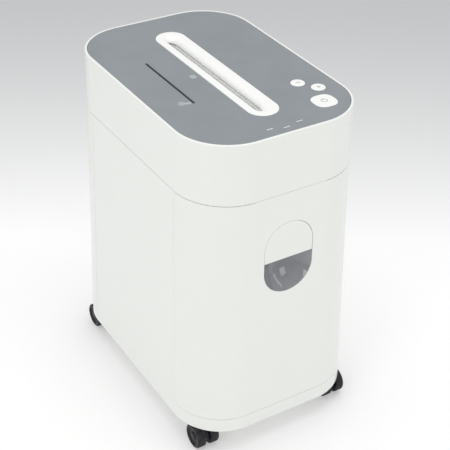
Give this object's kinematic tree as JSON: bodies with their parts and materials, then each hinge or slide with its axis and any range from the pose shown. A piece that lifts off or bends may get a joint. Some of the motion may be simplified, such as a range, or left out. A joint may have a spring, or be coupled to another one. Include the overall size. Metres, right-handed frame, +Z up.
{
  "type": "paper shredder",
  "caption": "Floor-standing office shredder with a top paper and disc feed, push keys and a pull-out bin on swivel casters.",
  "frame": {"origin": "centre of the bounding box on the floor", "axes": "+Z up, +X to the user's right, -Y the front where the bin pulls out"},
  "size_m": [0.2528, 0.3734, 0.4625],
  "materials": {
    "white_shell": "satin moulded ABS",
    "grey_panel": "fine textured ABS",
    "black_plastic": "moulded",
    "smoked_window": "smoked polycarbonate",
    "clear_guide": "clear acrylic",
    "circuit_board": "solder mask",
    "steel": "zinc plated",
    "hard_steel": "hardened and oiled",
    "bronze": "sintered",
    "nylon": "moulded nylon",
    "caster_plastic": "moulded nylon",
    "caster_tread": "moulded nylon"
  },
  "bodies": {
    "cabinet": {"cabinet_shell": "white_shell", "rear_panel": "white_shell", "head_shell": "white_shell", "top_panel": "grey_panel", "feed_bezel": "white_shell", "disc_slot_liner": "black_plastic", "indicator_light_guide": "clear_guide", "control_board": "circuit_board", "cord_gland": "black_plastic", "head_chassis": "black_plastic", "interlock_switch": "black_plastic", "side_plate_front": "steel", "side_plate_rear": "steel", "bush_front_a": "bronze", "bush_front_b": "bronze", "bush_rear_a": "bronze", "bush_rear_b": "bronze", "tie_rod_left": "steel", "tie_rod_right": "steel", "stripper_comb_right": "nylon", "stripper_comb_left": "nylon", "motor_body": "steel", "idler_axle": "steel", "gearbox_plate": "steel"},
    "bin": {"bin_front_panel": "white_shell", "grip_cover": "white_shell", "view_window": "smoked_window", "bin_tub": "black_plastic"},
    "key_small_rear": {"key_small_rear": "white_shell"},
    "key_small_front": {"key_small_front": "white_shell"},
    "key_power": {"key_power": "white_shell"},
    "drum_a": {"cutter_drum_a": "hard_steel", "sync_gear_a": "nylon", "drive_gear": "nylon"},
    "drum_b": {"cutter_drum_b": "hard_steel", "sync_gear_b": "nylon"},
    "compound_gear": {"compound_gear": "nylon"},
    "motor_pinion": {"motor_pinion": "steel"},
    "caster_front_left": {"caster_hood_front_left": "caster_plastic", "caster_stem_front_left": "steel", "caster_axle_front_left": "steel"},
    "wheel_front_left_left": {"caster_wheel_front_left_left": "caster_tread"},
    "wheel_front_left_right": {"caster_wheel_front_left_right": "caster_tread"},
    "caster_front_right": {"caster_hood_front_right": "caster_plastic", "caster_stem_front_right": "steel", "caster_axle_front_right": "steel"},
    "wheel_front_right_left": {"caster_wheel_front_right_left": "caster_tread"},
    "wheel_front_right_right": {"caster_wheel_front_right_right": "caster_tread"},
    "caster_rear_left": {"caster_hood_rear_left": "caster_plastic", "caster_stem_rear_left": "steel", "caster_axle_rear_left": "steel"},
    "wheel_rear_left_left": {"caster_wheel_rear_left_left": "caster_tread"},
    "wheel_rear_left_right": {"caster_wheel_rear_left_right": "caster_tread"},
    "caster_rear_right": {"caster_hood_rear_right": "caster_plastic", "caster_stem_rear_right": "steel", "caster_axle_rear_right": "steel"},
    "wheel_rear_right_left": {"caster_wheel_rear_right_left": "caster_tread"},
    "wheel_rear_right_right": {"caster_wheel_rear_right_right": "caster_tread"}
  },
  "joints": [
    {"name": "bin_slide", "type": "slide", "parent": "cabinet", "child": "bin", "axis": [0, -1, 0], "range_m": [0, 0.3]},
    {"name": "key_small_rear_press", "type": "slide", "parent": "cabinet", "child": "key_small_rear", "axis": [0, 0, -1], "range_m": [0, 0.0012], "stiffness_N_per_m": 600, "springref_m": -0.0005},
    {"name": "key_small_front_press", "type": "slide", "parent": "cabinet", "child": "key_small_front", "axis": [0, 0, -1], "range_m": [0, 0.0012], "stiffness_N_per_m": 600, "springref_m": -0.0005},
    {"name": "key_power_press", "type": "slide", "parent": "cabinet", "child": "key_power", "axis": [0, 0, -1], "range_m": [0, 0.0012], "stiffness_N_per_m": 600, "springref_m": -0.0005},
    {"name": "drum_a_spin", "type": "hinge", "parent": "cabinet", "child": "drum_a", "pos_m": [0.017, 0, 0.4145], "axis": [0, 1, 0], "continuous": true},
    {"name": "drum_b_spin", "type": "hinge", "parent": "cabinet", "child": "drum_b", "pos_m": [-0.017, 0, 0.4145], "axis": [0, 1, 0], "continuous": true},
    {"name": "compound_spin", "type": "hinge", "parent": "cabinet", "child": "compound_gear", "pos_m": [0.05048, 0.14, 0.4204], "axis": [0, 1, 0], "continuous": true},
    {"name": "pinion_spin", "type": "hinge", "parent": "cabinet", "child": "motor_pinion", "pos_m": [0.08498, 0.14, 0.4204], "axis": [0, 1, 0], "continuous": true},
    {"name": "caster_front_left_swivel", "type": "hinge", "parent": "cabinet", "child": "caster_front_left", "pos_m": [-0.102, -0.136, 0.035], "axis": [0, 0, 1], "continuous": true},
    {"name": "wheel_front_left_left_roll", "type": "hinge", "parent": "caster_front_left", "child": "wheel_front_left_left", "pos_m": [-0.102, -0.15, 0.0173], "axis": [1, 0, 0], "continuous": true},
    {"name": "wheel_front_left_right_roll", "type": "hinge", "parent": "caster_front_left", "child": "wheel_front_left_right", "pos_m": [-0.102, -0.15, 0.0173], "axis": [1, 0, 0], "continuous": true},
    {"name": "caster_front_right_swivel", "type": "hinge", "parent": "cabinet", "child": "caster_front_right", "pos_m": [0.102, -0.136, 0.035], "axis": [0, 0, 1], "continuous": true},
    {"name": "wheel_front_right_left_roll", "type": "hinge", "parent": "caster_front_right", "child": "wheel_front_right_left", "pos_m": [0.102, -0.15, 0.0173], "axis": [1, 0, 0], "continuous": true},
    {"name": "wheel_front_right_right_roll", "type": "hinge", "parent": "caster_front_right", "child": "wheel_front_right_right", "pos_m": [0.102, -0.15, 0.0173], "axis": [1, 0, 0], "continuous": true},
    {"name": "caster_rear_left_swivel", "type": "hinge", "parent": "cabinet", "child": "caster_rear_left", "pos_m": [-0.102, 0.136, 0.035], "axis": [0, 0, 1], "continuous": true},
    {"name": "wheel_rear_left_left_roll", "type": "hinge", "parent": "caster_rear_left", "child": "wheel_rear_left_left", "pos_m": [-0.102, 0.15, 0.0173], "axis": [1, 0, 0], "continuous": true},
    {"name": "wheel_rear_left_right_roll", "type": "hinge", "parent": "caster_rear_left", "child": "wheel_rear_left_right", "pos_m": [-0.102, 0.15, 0.0173], "axis": [1, 0, 0], "continuous": true},
    {"name": "caster_rear_right_swivel", "type": "hinge", "parent": "cabinet", "child": "caster_rear_right", "pos_m": [0.102, 0.136, 0.035], "axis": [0, 0, 1], "continuous": true},
    {"name": "wheel_rear_right_left_roll", "type": "hinge", "parent": "caster_rear_right", "child": "wheel_rear_right_left", "pos_m": [0.102, 0.15, 0.0173], "axis": [1, 0, 0], "continuous": true},
    {"name": "wheel_rear_right_right_roll", "type": "hinge", "parent": "caster_rear_right", "child": "wheel_rear_right_right", "pos_m": [0.102, 0.15, 0.0173], "axis": [1, 0, 0], "continuous": true}
  ],
  "couplings": [
    {"joint": "drum_b_spin", "follows": "drum_a_spin", "ratio": -1},
    {"joint": "compound_spin", "follows": "drum_a_spin", "ratio": -2.4},
    {"joint": "pinion_spin", "follows": "drum_a_spin", "ratio": 8.64}
  ]
}
